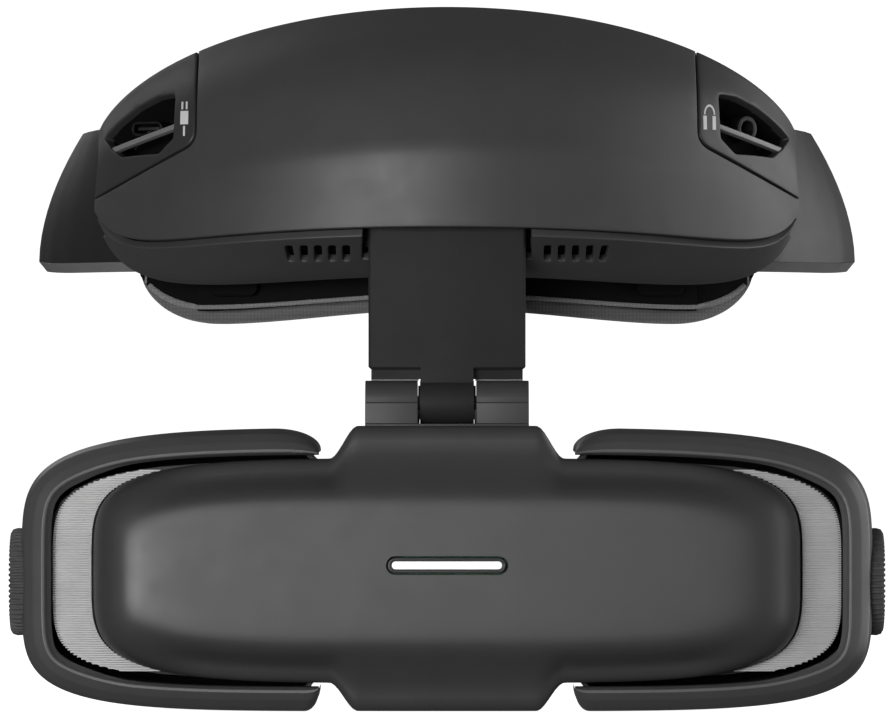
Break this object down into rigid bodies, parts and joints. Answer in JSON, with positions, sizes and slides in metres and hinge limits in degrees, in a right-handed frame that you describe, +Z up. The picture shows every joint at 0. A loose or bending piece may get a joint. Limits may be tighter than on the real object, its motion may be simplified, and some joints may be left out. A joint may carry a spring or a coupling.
{
  "type": "fpv goggles",
  "caption": "Head-worn FPV viewer: forehead unit with padded head band, sliding hinge plate and a flip-up visor with two adjustable eyepieces.",
  "frame": {"origin": "centre of the forehead cushion's rear face, where it meets the wearer's forehead", "axes": "+Z up, -Y to the front (the visor's cover), +X to the viewer's right as they face the visor"},
  "size_m": [0.1912, 0.2734, 0.1547],
  "materials": {
    "charcoal_shell": "fine satin, soft sheen",
    "black_plastic": "matte, fine texture",
    "visor_plastic": "satin charcoal paint",
    "grey_panel": "finely ribbed grey",
    "rubber": "matte",
    "pad_fabric": "woven over foam",
    "steel": "satin",
    "aluminium": "as extruded",
    "light_diffuser": "white diffuser",
    "lens_glass": "polished",
    "display_glass": "polished dark",
    "circuit_board": "solder mask"
  },
  "bodies": {
    "head_unit": {"housing_front_shell": "charcoal_shell", "housing_lower_cover": "charcoal_shell", "housing_rear_wall": "charcoal_shell", "port_bezel_left": "black_plastic", "port_bezel_right": "black_plastic", "usb_c_socket": "steel", "earphone_socket": "black_plastic", "main_board": "circuit_board", "heat_sink": "aluminium", "plate_guide": "black_plastic", "pad_carrier": "black_plastic", "pad_boss_left": "black_plastic", "pad_boss_right": "black_plastic", "forehead_cushion": "pad_fabric", "arm_left": "black_plastic", "arm_right": "black_plastic", "arm_liner_left": "black_plastic", "arm_liner_right": "black_plastic", "arm_screw_left": "steel", "arm_screw_right": "steel"},
    "plate": {"hinge_plate": "charcoal_shell", "hinge_pin": "steel"},
    "visor": {"hinge_bracket": "charcoal_shell", "bracket_screw_left": "steel", "bracket_screw_right": "steel", "front_cover": "visor_plastic", "light_bar_frame": "black_plastic", "light_bar": "light_diffuser", "light_board": "circuit_board", "visor_chassis": "black_plastic", "visor_rear_shell": "black_plastic", "side_rim_left": "visor_plastic", "side_rim_right": "visor_plastic", "side_panel_left": "grey_panel", "side_panel_right": "grey_panel", "guide_rod_upper": "steel", "guide_rod_lower": "steel", "driver_board": "circuit_board"},
    "optic_left": {"optic_carriage_left": "black_plastic", "microdisplay_left": "display_glass"},
    "knob_left": {"focus_shaft_left": "steel", "focus_dial_left": "rubber"},
    "lens_left": {"lens_barrel_left": "black_plastic", "eyepiece_lens_left": "lens_glass", "eyecup_left": "rubber"},
    "optic_right": {"optic_carriage_right": "black_plastic", "microdisplay_right": "display_glass"},
    "knob_right": {"focus_shaft_right": "steel", "focus_dial_right": "rubber"},
    "lens_right": {"lens_barrel_right": "black_plastic", "eyepiece_lens_right": "lens_glass", "eyecup_right": "rubber"},
    "rear_band": {"rear_strap_left": "black_plastic", "rear_strap_right": "black_plastic", "rear_base": "black_plastic", "rear_pad": "pad_fabric", "rear_cover": "charcoal_shell"},
    "adjuster": {"adjuster_dial": "rubber"}
  },
  "joints": [
    {"name": "height_slide", "type": "slide", "parent": "head_unit", "child": "plate", "axis": [0, 0, 1], "range_m": [-0.006, 0.01]},
    {"name": "visor_flip", "type": "hinge", "parent": "plate", "child": "visor", "pos_m": [0, -0.038, -0.046], "axis": [-1, 0, 0], "range_deg": [-8, 90]},
    {"name": "ipd_left", "type": "slide", "parent": "visor", "child": "optic_left", "axis": [-1, 0, 0], "range_m": [-0.0028, 0.0032]},
    {"name": "focus_left", "type": "hinge", "parent": "optic_left", "child": "knob_left", "pos_m": [-0.0925, -0.0355, -0.0853], "axis": [-1, 0, 0], "range_deg": [-28.65, 28.65]},
    {"name": "lens_focus_left", "type": "slide", "parent": "optic_left", "child": "lens_left", "axis": [0, 1, 0], "range_m": [-0.002, 0.002]},
    {"name": "ipd_right", "type": "slide", "parent": "visor", "child": "optic_right", "axis": [1, 0, 0], "range_m": [-0.0028, 0.0032]},
    {"name": "focus_right", "type": "hinge", "parent": "optic_right", "child": "knob_right", "pos_m": [0.0925, -0.0355, -0.0853], "axis": [-1, 0, 0], "range_deg": [-28.65, 28.65]},
    {"name": "lens_focus_right", "type": "slide", "parent": "optic_right", "child": "lens_right", "axis": [0, 1, 0], "range_m": [-0.002, 0.002]},
    {"name": "band_slide", "type": "slide", "parent": "head_unit", "child": "rear_band", "axis": [0, 1, 0], "range_m": [-0.01, 0.016]},
    {"name": "adjuster_spin", "type": "hinge", "parent": "rear_band", "child": "adjuster", "pos_m": [0, 0.2038, -0.003], "axis": [0, 1, 0], "range_deg": [-75, 118]}
  ],
  "couplings": [
    {"joint": "focus_left", "follows": "lens_focus_left", "rad_per_m": 250},
    {"joint": "focus_right", "follows": "lens_focus_right", "rad_per_m": 250},
    {"joint": "adjuster_spin", "follows": "band_slide", "rad_per_m": 125}
  ]
}
